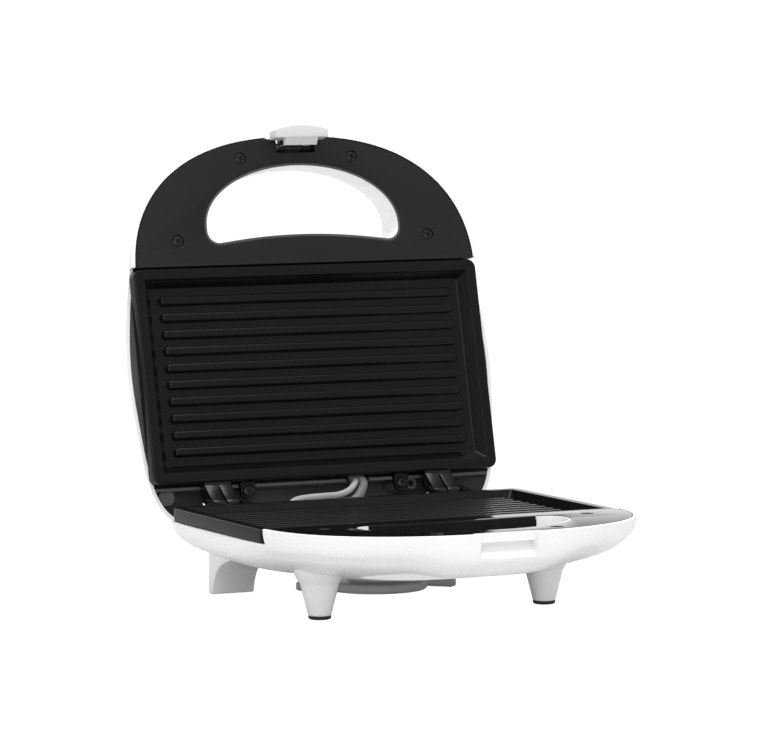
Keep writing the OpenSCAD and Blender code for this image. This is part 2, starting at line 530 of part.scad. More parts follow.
lower_housing();
lower_handle_cover();
lower_plate();
lower_heating_element();
lower_heat_reflector();
lower_reflector_screws();
lower_plate_screws();
lower_cover_screws();
lower_hinge_brackets();
lower_bracket_screws();
hinge_pins();
front_foot_pads();
cord_spool();
cord_spool_screws();
cord_gland();
terminal_block();
thermal_fuse();
lower_wires();
upper_housing();
upper_handle_cover();
upper_plate();
upper_heating_element();
upper_heat_reflector();
upper_reflector_screws();
upper_plate_screws();
upper_cover_screws();
upper_hinge_brackets();
upper_bracket_screws();
thermostat();
thermostat_screws();
upper_wires();
indicator_lamps();
indicator_lenses();
latch();
latch_pin();
latch_spring();
wire_sleeve();
wire_coil_guard();
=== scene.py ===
"""Looks of the open sandwich and panini press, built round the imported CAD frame.

Shapes are drawn in millimetres as the CAD draws them: X right, y 0 at the plates' front edge, z 0 on the
ground, the lid closed. PLACE moves a base piece into the row frame and SWING a lid piece.
"""
import json
import math

import bmesh
import bpy
from mathutils import Matrix, Vector

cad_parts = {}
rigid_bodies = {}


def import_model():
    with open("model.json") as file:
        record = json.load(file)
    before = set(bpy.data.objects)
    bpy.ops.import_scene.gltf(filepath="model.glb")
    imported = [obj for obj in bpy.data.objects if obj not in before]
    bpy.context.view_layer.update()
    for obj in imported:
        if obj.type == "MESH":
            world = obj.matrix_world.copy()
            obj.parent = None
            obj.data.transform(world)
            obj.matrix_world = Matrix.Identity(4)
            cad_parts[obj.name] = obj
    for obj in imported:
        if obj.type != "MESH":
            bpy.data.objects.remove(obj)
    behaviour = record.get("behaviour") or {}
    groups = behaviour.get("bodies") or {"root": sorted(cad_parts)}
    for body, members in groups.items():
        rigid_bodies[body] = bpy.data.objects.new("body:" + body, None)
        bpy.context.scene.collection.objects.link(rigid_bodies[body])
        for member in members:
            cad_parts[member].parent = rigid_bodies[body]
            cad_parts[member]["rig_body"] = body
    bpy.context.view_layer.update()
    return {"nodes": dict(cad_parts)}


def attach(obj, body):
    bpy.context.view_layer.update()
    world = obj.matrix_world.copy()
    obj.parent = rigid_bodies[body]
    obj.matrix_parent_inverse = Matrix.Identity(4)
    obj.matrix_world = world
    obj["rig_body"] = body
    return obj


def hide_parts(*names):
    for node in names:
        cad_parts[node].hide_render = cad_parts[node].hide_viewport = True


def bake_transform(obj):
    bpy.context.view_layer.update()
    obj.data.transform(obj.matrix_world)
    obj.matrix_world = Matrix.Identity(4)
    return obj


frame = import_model()
nodes = frame["nodes"]

# ---- driving sizes, millimetres ----
MM = 0.001
SHIFT_Y = -65.8
HINGE_Y, HINGE_Z, OPEN_DEG = 142.0, 50.0, 103.4
PARTING = 54.2
LOWER_RIM, UPPER_RIM = 45.4, 63.0
WALL = 2.2
COVER_TOP = PARTING - 0.25
COVER_UNDER = COVER_TOP - 2.5
PLATE_W, PLATE_D = 222.8, 126.6
PLATE_TOP = PARTING - 0.8
PAN_DEPTH, RIB_H, RIB_PITCH, RIBS = 6.2, 3.0, 9.9, 10
EAR_X, EAR_Y = 50.0, PLATE_D + 5.7
COVER_SCREWS = [(-36.3, -64.2), (36.3, -64.2), (-81.5, -15.8), (81.5, -15.8)]
FEET = [(-70.5, 14.8), (70.5, 14.8)]
LAMPS = [(-12, 4), (12, 4)]
REFLECTOR_POSTS = [(-88, 28), (88, 28), (-88, 98), (88, 98)]
LATCH_Y, LATCH_Z = -71.0, 60.0
MIDDLE_Y = 50.0
BOW_POWER, BOW_Y = 2 / 2.378, 7.6
SPOOL_X, SPOOL_Y = 9, 89
GLAND = (28, 124)
STAND_X, STAND_HALF = 68.25, 13.25
BOSS_R, BOSS_HOLE_R = 3.7, 1.5
RIB_HALF_LENGTH, RIB_R = 92.3, 2.7
SCREW_SHANK_R = 1.45
RECESS_HALF_W = 17.6
LATCH_SLOT_HALF_W = 18.2
CUT_TOP = 70

PLACE = Matrix.Scale(MM, 4) @ Matrix.Translation((0, SHIFT_Y, 0))
SWING = (PLACE @ Matrix.Translation((0, HINGE_Y, HINGE_Z)) @ Matrix.Rotation(math.radians(-OPEN_DEG), 4, "X")
         @ Matrix.Translation((0, -HINGE_Y, -HINGE_Z)))
FLIP = Matrix.Translation((0, 0, 2 * PARTING)) @ Matrix.Scale(-1, 4, (0, 0, 1))


# ---- curves ----
def between(a, b, c, d, t):
    """Point on the smooth curve from b to c, with the neighbours a and d."""
    return 0.5 * (2 * b + (c - a) * t + (2 * a - 5 * b + 4 * c - d) * t * t
                  + (3 * b - a - 3 * c + d) * t ** 3)


def neighbours(points, i):
    """Four points round the span that starts at i, the ends repeated."""
    return [Vector(points[max(0, min(len(points) - 1, i + j))]) for j in (-1, 0, 1, 2)]


def spline(points, steps):
    """Smooth curve through points of any dimension, the first point included."""
    out = [tuple(points[0])]
    for i in range(len(points) - 1):
        span = neighbours(points, i)
        out += [tuple(between(*span, j / steps)) for j in range(1, steps + 1)]
    return out


def smoothstep(t):
    t = max(0.0, min(1.0, t))
    return t * t * (3 - 2 * t)


def bow(a, b, t0, n):
    """Front bow of the handle, a superellipse from the left end to the right end."""
    out = []
    for i in range(n + 1):
        t = math.radians(180 + t0 + (180 - 2 * t0) * i / n)
        c, s = math.cos(t), math.sin(t)
        x = a * math.copysign(abs(c) ** BOW_POWER, c)
        out.append((x, BOW_Y + b * math.copysign(abs(s) ** BOW_POWER, s)))
    return out


def opening(o):
    """Finger opening of the handle, grown by o: a half ellipse, two corners and a hollow back edge."""
    half_width, depth, ellipse_y = 63.9 + o, 37.1 + o, -24
    corner_x, corner_y, corner_r = 54.9, -21.4, 9 + o
    out = []
    for i in range(49):
        t = math.radians(180 + 180 * i / 48)
        out.append((half_width * math.cos(t), ellipse_y + depth * math.sin(t)))
    corner = [math.radians(90 * i / 8) for i in range(9)]
    out += [(corner_x + corner_r * math.cos(t), corner_y + corner_r * math.sin(t)) for t in corner]
    out += [(x, -16.5 + x * x / 710 + o) for x in range(48, -49, -6)]
    out += [(-corner_x - corner_r * math.sin(t), corner_y + corner_r * math.cos(t)) for t in corner]
    return out


def side_curve():
    """Right side and back of the outline, to the middle of the back."""
    knots = [(112.35, 0), (115.6, 24), (117.9, 62), (115.1, 100), (112, 122), (107.3, 137), (98.8, 147),
             (84, 152.8), (50, 155), (0, 155.3)]
    return spline(knots, 7)[1:]


SIDE = side_curve()
OUTLINE = bow(112.5, 86.7, 3.17, 96) + SIDE + [(-x, y) for x, y in reversed(SIDE[:-1])]
COVER_OUTLINE = bow(109.75, 84, 3.65, 96)

# Profiles of a half from the closing edge down: share of the outline's distance from the middle, height.
# In order: front of the handle, front edge beside the plates, sides and back. Then the distance in front of
# the plates at which the handle's profile starts, and the length over which it fades in.
LOWER = ([(1, 54), (.9995, 50), (.998, 46), (.992, 42), (.979, 38.2), (.95, 34.8), (.9, 30.8), (.835, 27.9),
          (.7, 25.3), (.6, 23.6), (.51, 22), (.4, 20.7), (.25, 20)],
         [(1, 54), (.996, 50), (.985, 46), (.967, 42.7), (.936, 39.5), (.902, 36.2), (.848, 33), (.778, 29.9),
          (.733, 28.2), (.63, 25.1), (.515, 22), (.42, 20.7), (.3, 20)],
         [(1, 54), (1, 49.5), (1, 45.4), (.99, 41.6), (.977, 38.2), (.956, 35), (.917, 31.7), (.852, 28.5),
          (.787, 26), (.7, 23.8), (.59, 21.8), (.5, 20), (.3, 20)], 71, 8.5)
UPPER = ([(1, -.2), (.9995, -4), (.99, -7.5), (.972, -10.5), (.945, -13), (.91, -15), (.87, -16.6),
          (.8, -18.8), (.7, -21.6), (.58, -25.4), (.46, -28.8), (.34, -31.6), (.2, -33.8)],
         [(1, -.2), (.997, -4), (.985, -8), (.968, -11), (.94, -14), (.905, -16.5), (.85, -19), (.77, -22),
          (.68, -25), (.57, -28), (.46, -30.8), (.33, -33), (.2, -34.3)],
         [(1, -.2), (1, -5), (1, -8.8), (.988, -12), (.97, -15.5), (.943, -19.5), (.9, -23.5), (.85, -26.8),
          (.78, -29.5), (.69, -31.7), (.57, -33.3), (.42, -34.2), (.25, -34.5)], 35, 35)
# How the wall's thickness splits into an inward and an upward part, one value for each profile point
INWARD = [1, 1, 1, .95, .85, .7, .5, .35, .2, .1, 0, 0, 0]
UPWARD = [0, 0, .05, .25, .5, .7, .85, .95, 1, 1, 1, 1, 1]
STEPS = 4


# ---- solids ----
def solid(verts, faces):
    """New object from vertices and faces, its faces turned outward."""
    mesh = bpy.data.meshes.new("part")
    mesh.from_pydata(verts, [], faces)
    bm = bmesh.new()
    bm.from_mesh(mesh)
    bmesh.ops.recalc_face_normals(bm, faces=bm.faces)
    bm.to_mesh(mesh)
    bm.free()
    ob = bpy.data.objects.new("part", mesh)
    bpy.context.scene.collection.objects.link(ob)
    return ob


def lofted(rings):
    """Closed solid through rings of equal length, a flat cap on the first and the last."""
    n = len(rings[0])
    last = (len(rings) - 1) * n
    faces = [tuple(range(n)), tuple(range(last, last + n))]
    for k in range(0, last, n):
        faces += [(k + i, k + (i + 1) % n, k + n + (i + 1) % n, k + n + i) for i in range(n)]
    return solid([p for ring in rings for p in ring], faces)


def prism(points, z0, z1):
    return lofted([[(x, y, z) for x, y in points] for z in (z0, z1)])


def xprism(points, x0, x1):
    return lofted([[(x, y, z) for y, z in points] for x in (x0, x1)])


def box(a, b):
    return prism([(a[0], a[1]), (b[0], a[1]), (b[0], b[1]), (a[0], b[1])], a[2], b[2])


def circle(x, y, r, n=48):
    return [(x + r * math.cos(2 * math.pi * i / n), y + r * math.sin(2 * math.pi * i / n)) for i in range(n)]


def post(x, y, z0, z1, r):
    return prism(circle(x, y, r), z0, z1)


def xpost(x0, x1, y, z, r):
    return xprism(circle(y, z, r), x0, x1)


def turned(x, y, profile, n=64):
    """Solid of revolution about an upright axis, from a profile of (radius, height) pairs."""
    return lofted([[(px, py, z) for px, py in circle(x, y, r, n)] for r, z in profile])


def tube(points, radius, n=16, steps=8, ripple=0.0, pitch=1.7):
    """Tube on a smooth curve through points. A ripple winds round it as a helix with that pitch."""
    line = [Vector(p) for p in spline(points, steps)]
    rings, normal, run = [], Vector((0.3, 1, 0.02)), 0.0
    for i, p in enumerate(line):
        along = (line[min(i + 1, len(line) - 1)] - line[max(i - 1, 0)]).normalized()
        normal = (normal - along * normal.dot(along)).normalized()
        across = along.cross(normal)
        run += (p - line[i - 1]).length if i else 0
        ring = []
        for j in range(n):
            t = 2 * math.pi * j / n
            r = radius + ripple * (math.cos(2 * math.pi * run / pitch - t) - 1) / 2
            ring.append(tuple(p + r * (math.cos(t) * normal + math.sin(t) * across)))
        rings.append(ring)
    return lofted(rings)


def combine(a, b, operation):
    modifier = a.modifiers.new("combine", "BOOLEAN")
    modifier.operation = operation
    modifier.object = b
    modifier.solver = "MANIFOLD"
    return applied(a, b)


def applied(a, spent=None):
    """Turns a's modifiers into its mesh and removes the spent object."""
    bpy.context.view_layer.update()
    mesh = bpy.data.meshes.new_from_object(a.evaluated_get(bpy.context.evaluated_depsgraph_get()))
    a.modifiers.clear()
    old, a.data = a.data, mesh
    bpy.data.meshes.remove(old)
    if spent is not None:
        bpy.data.meshes.remove(spent.data)
    return a


def union(a, *others):
    for b in others:
        combine(a, b, "UNION")
    return a


def cut(a, *others):
    for b in others:
        combine(a, b, "DIFFERENCE")
    return a


def overlap(a, b):
    return combine(a, b, "INTERSECT")


def marked(ob, index):
    """Gives all of ob's faces a material index, which they keep through the booleans."""
    for polygon in ob.data.polygons:
        polygon.material_index = index
    return ob


def moved(ob, matrix):
    ob.data.transform(matrix)
    if matrix.determinant() < 0:
        ob.data.flip_normals()
    return ob


def eased(ob, width, segments=2, angle=35, factor=MM):
    """Rounds the edges sharper than angle."""
    modifier = ob.modifiers.new("ease", "BEVEL")
    modifier.width = width * factor
    modifier.segments = segments
    modifier.limit_method = "ANGLE"
    modifier.angle_limit = math.radians(angle)
    modifier.use_clamp_overlap = True
    return applied(ob)


def joined(obs):
    bm = bmesh.new()
    for ob in obs:
        bm.from_mesh(ob.data)
    bm.to_mesh(obs[0].data)
    bm.free()
    for ob in obs[1:]:
        bpy.data.meshes.remove(ob.data)
    return obs[0]


# ---- materials ----
def finish_material(name, colour, rough, variation=0.06, grain=0.0, grain_size=0.0006, edge=0.0,
                    spread=0.05, **sockets):
    """Principled surface: slow colour variation, a roughness that wanders, fine grain and eased edges."""
    material = bpy.data.materials.new(name)
    material.use_nodes = True
    tree = material.node_tree
    shader = tree.nodes["Principled BSDF"]

    def node(kind, **values):
        made = tree.nodes.new(kind)
        for key, value in values.items():
            made.inputs[key].default_value = value
        return made

    where = tree.nodes.new("ShaderNodeTexCoord").outputs["Object"]
    slow = node("ShaderNodeTexNoise", Scale=18, Detail=3, Roughness=0.6)
    fine = node("ShaderNodeTexNoise", Scale=1 / grain_size, Detail=2, Roughness=0.55)
    for noise in (slow, fine):
        tree.links.new(where, noise.inputs["Vector"])
    ramp = tree.nodes.new("ShaderNodeValToRGB")
    ramp.color_ramp.elements[0].position, ramp.color_ramp.elements[1].position = 0.3, 0.7
    ramp.color_ramp.elements[0].color = [c * (1 - variation) for c in colour] + [1]
    ramp.color_ramp.elements[1].color = [min(1, c * (1 + variation)) for c in colour] + [1]
    tree.links.new(slow.outputs["Fac"], ramp.inputs["Fac"])
    tree.links.new(ramp.outputs["Color"], shader.inputs["Base Color"])
    wander = node("ShaderNodeMapRange")
    lowest, highest = max(0.02, rough - spread), max(0.02, rough + spread)
    for key, value in (("From Min", 0.3), ("From Max", 0.7), ("To Min", lowest), ("To Max", highest)):
        wander.inputs[key].default_value = value
    tree.links.new((fine if grain else slow).outputs["Fac"], wander.inputs["Value"])
    tree.links.new(wander.outputs["Result"], shader.inputs["Roughness"])
    normal = None
    if edge:
        rounded = tree.nodes.new("ShaderNodeBevel")
        rounded.samples = 4
        rounded.inputs["Radius"].default_value = edge * MM
        normal = rounded.outputs["Normal"]
    if grain:
        bump = node("ShaderNodeBump", Strength=grain, Distance=0.0002)
        tree.links.new(fine.outputs["Fac"], bump.inputs["Height"])
        if normal:
            tree.links.new(normal, bump.inputs["Normal"])
        normal = bump.outputs["Normal"]
    if normal:
        tree.links.new(normal, shader.inputs["Normal"])
    for key, value in sockets.items():
        shader.inputs[key.replace("_", " ")].default_value = value
    return material


# Name, colour, roughness, colour variation, grain strength, grain size in metres, edge radius in millimetres
WHITE = finish_material("white_shell", (0.86, 0.86, 0.865), 0.3, 0.012, 0.05, 0.0011, 0.5,
                        Coat_Weight=0.12, Coat_Roughness=0.12)
LATCH_WHITE = finish_material("latch_white", (0.6, 0.6, 0.61), 0.36, 0.015, 0.06, 0.0009, 0.4)
# Painted shade: the lid's inside faces are coloured dark grey to stand in for the shade in the hinge bay; the
# shell itself is white.
LID_INSIDE_PAINTED_SHADE = finish_material("lid_inside_painted_shade", (0.06, 0.06, 0.06), 0.38, 0.25, 0.1, 0.0012, 0.3)
GLOSS_BLACK = finish_material("gloss_black_cover", (0.004, 0.004, 0.0042), 0.07, 0.08, 0.0, 0.0008, 0.35,
                              spread=0.02, Specular_IOR_Level=0.15)
SATIN_BLACK = finish_material("satin_black_cover", (0.012, 0.012, 0.0125), 0.42, 0.08, 0.1, 0.0005, 0.35,
                              Specular_IOR_Level=0.17)
COATING = finish_material("nonstick_plate", (0.004, 0.0042, 0.0041), 0.21, 0.12, 0.06, 0.0006, 0.0,
                          Specular_IOR_Level=0.15)
DARK_STEEL = finish_material("dark_steel", (0.03, 0.03, 0.03), 0.4, 0.2, 0.1, 0.0006)
MATERIALS = {
    "white_shell": WHITE,
    "gloss_black_cover": GLOSS_BLACK,
    "satin_black_cover": SATIN_BLACK,
    "nonstick_plate": COATING,
    "element_steel": finish_material("element_steel", (0.42, 0.39, 0.36), 0.42, 0.15, 0.1, 0.0009,
                                     Metallic=1.0),
    "reflector_sheet": finish_material("reflector_sheet", (0.74, 0.74, 0.75), 0.3, 0.05, 0.05, 0.0015, 0.2,
                                       Metallic=1.0),
    "zinc_screw": finish_material("zinc_screw", (0.6, 0.6, 0.6), 0.33, 0.08, 0.04, 0.0005, 0.15,
                                  Metallic=1.0),
    "black_screw": finish_material("black_screw", (0.008, 0.008, 0.008), 0.33, 0.1, 0.1, 0.0005, 0.15,
                                   Specular_IOR_Level=0.3),
    "black_bracket": finish_material("black_bracket", (0.005, 0.005, 0.005), 0.24, 0.12, 0.08, 0.0007, 0.3,
                                     Specular_IOR_Level=0.22),
    "pin_steel": finish_material("pin_steel", (0.5, 0.5, 0.51), 0.3, 0.06, 0.03, 0.0006, 0.15, Metallic=1.0),
    "foot_rubber": finish_material("foot_rubber", (0.012, 0.012, 0.012), 0.7, 0.15, 0.25, 0.0006, 0.3),
    "gland_rubber": finish_material("gland_rubber", (0.015, 0.015, 0.015), 0.65, 0.12, 0.2, 0.0006, 0.3),
    "grey_plastic": finish_material("grey_plastic", (0.5, 0.5, 0.505), 0.42, 0.03, 0.12, 0.0008, 0.3),
    "ceramic_body": finish_material("ceramic_body", (0.7, 0.68, 0.62), 0.5, 0.06, 0.12, 0.0006, 0.25),
    "fibre_sleeve": finish_material("fibre_sleeve", (0.62, 0.61, 0.57), 0.75, 0.1, 0.5, 0.0004),
    "lamp_glass": finish_material("lamp_glass", (0.9, 0.55, 0.3), 0.08, 0.05, 0.0, 0.0008,
                                  Transmission_Weight=0.6, IOR=1.5),
    "red_lens": finish_material("red_lens", (0.5, 0.03, 0.015), 0.14, 0.06, 0.02, 0.0012, 0.2,
                                Transmission_Weight=0.35, IOR=1.49),
    "silicone_sleeve": finish_material("silicone_sleeve", (0.34, 0.34, 0.33), 0.48, 0.05, 0.12, 0.0007,
                                       Subsurface_Weight=0.1, Subsurface_Scale=0.002),
    "coil_guard": finish_material("coil_guard", (0.2, 0.2, 0.2), 0.4, 0.05, 0.08, 0.0006),
}
SLOT_NODES = {
    "element_steel": ["lower_heating_element", "upper_heating_element"],
    "reflector_sheet": ["lower_heat_reflector", "upper_heat_reflector"],
    "zinc_screw": ["lower_reflector_screws", "upper_reflector_screws", "thermostat_screws"],
    "ceramic_body": ["terminal_block", "thermal_fuse", "thermostat"],
    "fibre_sleeve": ["lower_wires", "upper_wires"],
    "lamp_glass": ["indicator_lamps"],
    "gland_rubber": ["cord_gland"],
}


def sharp_edges(mesh, angle=34):
    for polygon in mesh.polygons:
        polygon.use_smooth = True
    mesh.set_sharp_from_angle(angle=math.radians(angle))


def painted(mesh, materials):
    """Gives a mesh its materials and keeps which face has which."""
    indices = [min(polygon.material_index, len(materials) - 1) for polygon in mesh.polygons]
    mesh.materials.clear()
    for material in materials:
        mesh.materials.append(material)
    mesh.polygons.foreach_set("material_index", indices)


def piece(ob, name, slot, body, *replaced, materials=None, angle=34):
    """Names a finished piece, gives it its materials and body, and lets it stand for its CAD nodes."""
    ob.name = ob.data.name = name
    sharp_edges(ob.data, angle)
    painted(ob.data, materials or [MATERIALS[slot]])
    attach(ob, body)
    if replaced:
        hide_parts(*replaced)
    return ob


def refined(node, name, slot, width, segments=2, materials=None, inner=None):
    """A CAD node with its edges rounded, as a moulded or machined piece has them."""
    mesh = nodes[node].data.copy()
    bm = bmesh.new()
    bm.from_mesh(mesh)
    bmesh.ops.remove_doubles(bm, verts=bm.verts, dist=2e-6)
    bmesh.ops.dissolve_limit(bm, angle_limit=math.radians(0.6), verts=bm.verts, edges=bm.edges)
    bmesh.ops.recalc_face_normals(bm, faces=bm.faces)
    bm.to_mesh(mesh)
    bm.free()
    ob = bpy.data.objects.new(name, mesh)
    bpy.context.scene.collection.objects.link(ob)
    marked(eased(ob, width, segments), 0)
    # Faces picked by inner get the second material; on the latch that is painted shade.
    if inner:
        for polygon in ob.data.polygons:
            polygon.material_index = int(inner(polygon))
    return piece(ob, name, slot, nodes[node]["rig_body"], node, materials=materials)


# ---- casings ----
def on_profile(table, k):
    """Share and height at a fractional place k of a profile."""
    i = min(int(k), len(table) - 2)
    return between(*neighbours(table, i), k - i)


def ring_at(half, k, thick, inset=0.0, rise=0.0):
    """Ring k down the profile of a half, moved in by the wall thickness."""
    front, edge, side, start, fade = half
    f_at, e_at, s_at = on_profile(front, k), on_profile(edge, k), on_profile(side, k)
    i = min(int(k), len(INWARD) - 2)
    inward, upward = (t[i] + (t[i + 1] - t[i]) * (k - i) for t in (INWARD, UPWARD))
    ring = []
    for x, y in OUTLINE:
        f, g = smoothstep((-start - y) / fade), smoothstep((y + 20) / 70)
        share, z = f * f_at + g * s_at + (1 - f - g) * e_at
        share -= (thick * inward + inset) / math.hypot(x, y - MIDDLE_Y)
        ring.append((x * share, MIDDLE_Y + (y - MIDDLE_Y) * share, z + thick * upward + rise))
    return ring


def casing(half, thick, rounding=0.55):
    """Outer form of a half, or with a thickness its inner form, which starts above the rim."""
    last = len(INWARD) - 1
    levels = [k / STEPS for k in range(1, last * STEPS + 1)]
    if thick:
        rings = [ring_at(half, 0, thick, rise=4)] + [ring_at(half, 1 / STEPS, thick)]
        rings += [ring_at(half, k, thick) for k in levels[1:]]
    else:
        rings = []
        for a in (90, 65, 40, 18, 0):
            inset = rounding * (1 - math.cos(math.radians(a)))
            rings.append(ring_at(half, 0, 0, inset, rounding * (math.sin(math.radians(a)) - 1)))
        rings += [ring_at(half, k, 0) for k in levels]
    end = rings[-1]
    middle = sum(p[2] for p in end) / len(end)
    for share in (0.8, 0.6, 0.4, 0.2, 0.06):
        rings.append([(x * share, MIDDLE_Y + (y - MIDDLE_Y) * share, middle + (z - middle) * share * share)
                      for x, y, z in end])
    return lofted(rings)


def inner_features(low):
    """Bulkheads, ledges, posts and the sleeve round the finger opening, drawn for the base."""
    kept = box((-112, -3.4, low), (112, -1.2, COVER_UNDER - 0.05))
    for s in (-1, 1):
        union(kept, box((s * 119.2 - 10.8, -2, 42.6), (s * 119.2 + 10.8, 129, LOWER_RIM - 0.3)))
    wall = box((-112, 128, low), (112, 129.8, LOWER_RIM))
    for s in (-1, 1):
        cut(wall, box((s * EAR_X - 5.2, 127, 43.7), (s * EAR_X + 5.2, 131, 60)))
    union(kept, wall)
    for x, y in COVER_SCREWS:
        union(kept, post(x, y, low, COVER_UNDER - 0.05, BOSS_R))
    for s in (-1, 1):
        union(kept, post(s * EAR_X, EAR_Y, low, 43.93, 4))
    union(kept, prism(opening(0.6), low, COVER_UNDER - 0.05), prism(opening(-0.15), low, COVER_TOP - 0.3))
    for x, y in COVER_SCREWS:
        cut(kept, post(x, y, COVER_UNDER - 12, CUT_TOP, BOSS_HOLE_R))
    for s in (-1, 1):
        cut(kept, post(s * EAR_X, EAR_Y, 31, CUT_TOP, BOSS_HOLE_R))
    return kept


def base_casing():
    body = casing(LOWER, 0)
    flare = [(5.8, 2), (6.2, 2.15), (6.5, 2.7)] + spline([(6.6, 3.2), (10.6, 18.5), (12, 21.5), (14, 25),
                                                         (15.2, 29), (15.6, 34)], 5)
    for x, y in FEET:
        union(body, turned(x, y, flare))
    stand = [(137.2, 0), (142.2, 0), (142.2, 33.6), (108, 33.6)] + spline(
        [(108, 25), (112, 22.6), (118, 20.8), (126, 17.5), (131.5, 13), (134.8, 8), (136.6, 3)], 4)
    for s in (-1, 1):
        foot = xprism(stand, s * STAND_X - STAND_HALF, s * STAND_X + STAND_HALF)
        union(body, eased(foot, 0.7, 3, 40, 1))
    union(body, post(*GLAND, 20.5, 27, 8.5))
    kept = inner_features(15)
    union(kept, box((-20.5, -80, 34), (20.5, -65, COVER_UNDER - 0.05)),
          box((-19.6, -78, COVER_UNDER - 1), (19.6, -72, COVER_TOP - 0.1)))
    for s in (-1, 1):
        union(kept, post(s * SPOOL_X, SPOOL_Y, 15, 32, 3.6))
    union(kept, post(*GLAND, 15, 27, 8.5))
    cut(body, cut(casing(LOWER, WALL), kept), prism(opening(-1.6), -5, 80))
    lining = overlap(prism(opening(0.1), 40.9, CUT_TOP), box((-54.2, -19.5, 40), (50.2, -5, CUT_TOP)))
    pocket = xprism([(-90, 48.6), (-69, 48.6), (-69, 46.6), (-76.9, 40.3), (-90, 40.3)],
                    -RECESS_HALF_W, RECESS_HALF_W)
    cut(body, lining, box((-130, -1, LOWER_RIM), (130, 170, CUT_TOP)), box((-80, 135, 31.8), (80, 170, 60)),
        box((-RECESS_HALF_W, -90, 48.5), (RECESS_HALF_W, -73.6, CUT_TOP)), pocket)
    for x, y in FEET:
        cut(body, post(x, y, 1, 7.2, 2.55), turned(x, y, [(4, 9), (8.5, 29)]))
    for s in (-1, 1):
        cut(body, post(s * SPOOL_X, SPOOL_Y, 10, 30, BOSS_HOLE_R))
    cut(body, post(*GLAND, 10, 40, 4.5), post(*GLAND, 27.05, 40, 5.8))
    return piece(moved(body, PLACE), "base_casing", "white_shell", "base", "lower_housing")


def lid_casing():
    to_lid = Matrix.Translation((0, 0, PARTING)) @ Matrix.Scale(-1, 4, (0, 0, 1))
    body = moved(casing(UPPER, 0), to_lid)
    # Faces marked 1 here and below line the lid's inside and get the dark painted shade.
    kept = cut(moved(inner_features(15), FLIP), marked(box((14.5, 126, UPPER_RIM - 1), (29.5, 132, 70.5)), 1))
    tube_post = cut(post(57.6, 132.6, 64.6, 95, 3.4), post(57.6, 132.6, 50, 74, 2))
    union(kept, tube_post, post(-100, 133, 66, 95, 5))
    for x, y in LAMPS:
        union(kept, post(x, y, 79.8, 95, 5))
    hollow = cut(marked(moved(casing(UPPER, WALL), to_lid), 1), marked(kept, 1))
    cut(body, hollow, prism(opening(-1.6), 20, 120),
        box((-130, -1, 20), (130, 170, UPPER_RIM)),
        box((-LATCH_SLOT_HALF_W, -95, 50), (LATCH_SLOT_HALF_W, -75.5, 64.8)),
        box((-15.8, -80, 50), (15.8, -65.6, 64.8)))
    for x, y in LAMPS:
        cut(body, post(x, y, 60, 100, 3.3))
    return piece(moved(body, SWING), "lid_casing", "white_shell", "lid", "upper_housing",
                 materials=[WHITE, LID_INSIDE_PAINTED_SHADE])


# ---- handle covers ----
def cover_sheet():
    """Flat cover of a handle with eased edges, its opening and the screws' counterbores."""
    ease = 0.45
    turn = [math.radians(a) for a in (0, 30, 60, 90)]
    rings = [[(x, y, COVER_UNDER) for x, y in COVER_OUTLINE]]
    centre = Vector((0, -30))
    for a in turn:
        inset, z = ease * (1 - math.cos(a)), COVER_TOP - ease * (1 - math.sin(a))
        ring = []
        for p in COVER_OUTLINE:
            q = Vector(p) - centre
            ring.append((*(centre + q * (1 - inset / q.length)), z))
        rings.append(ring)
    sheet = lofted(rings)
    hole = [[(x, y, COVER_UNDER - 1) for x, y in opening(0)]]
    for a in turn:
        grow, z = ease * (1 - math.cos(a)), COVER_TOP - ease * (1 - math.sin(a))
        hole.append([(x, y, z) for x, y in opening(grow)])
    hole.append([(x, y, COVER_TOP + 1) for x, y in opening(ease)])
    cut(sheet, lofted(hole))
    for x, y in COVER_SCREWS:
        cut(sheet, post(x, y, COVER_UNDER - 1, COVER_TOP + 1, 1.75),
            turned(x, y, [(3.6, COVER_UNDER + 1), (3.6, COVER_TOP - 0.25), (3.9, COVER_TOP + 0.05)]))
    return sheet


def base_handle_cover():
    top = COVER_UNDER + 0.5
    lining = overlap(prism(opening(0.02), 41, top), box((-54, -19.3, 41), (50, -5, top)))
    cut(lining, prism(opening(-1.6), 30, CUT_TOP))
    cover = cut(union(cover_sheet(), lining), box((-19.8, -90, 40), (19.8, -71.8, CUT_TOP)))
    return piece(moved(cover, PLACE), "base_handle_cover", "gloss_black_cover", "base", "lower_handle_cover")


def lid_handle_cover():
    cover = moved(cover_sheet(), FLIP)
    front = 2 * PARTING - COVER_TOP
    # The ceiling between the pin's ribs is a black sheet that stands in for the shade deep in the latch slot;
    # the ribs hold the latch pin.
    union(cover, box((-15.4, -67.2, front), (15.4, -66.2, 64.4)),
          box((-15.4, -74.4, 63.5), (15.4, -66.2, 64.4)))
    for s in (-1, 1):
        union(cover, box((s * 13.9 - 1.5, -74.4, front), (s * 13.9 + 1.5, -66.2, 64.4)))
    cut(cover, box((-12.4, -90, 50), (12.4, -67.2, 63.5)),
        box((-LATCH_SLOT_HALF_W, -90, 50), (LATCH_SLOT_HALF_W, -75.5, CUT_TOP)),
        xpost(-16, 16, LATCH_Y, LATCH_Z, 1.52))
    return piece(moved(cover, SWING), "lid_handle_cover", "satin_black_cover", "lid", "upper_handle_cover")


# ---- grill plates ----
def plate_ring(inset, z, r, n=8):
    """Rounded rectangle inside the plate's outline."""
    r = max(r, 0.3)
    x1, y0, y1 = PLATE_W / 2 - inset - r, inset + r, PLATE_D - inset - r
    ring = []
    for cx, cy, start in ((x1, y1, 0), (-x1, y1, 90), (-x1, y0, 180), (x1, y0, 270)):
        for i in range(n + 1):
            t = math.radians(start + 90 * i / n)
            ring.append((cx + r * math.cos(t), cy + r * math.sin(t), z))
    return ring


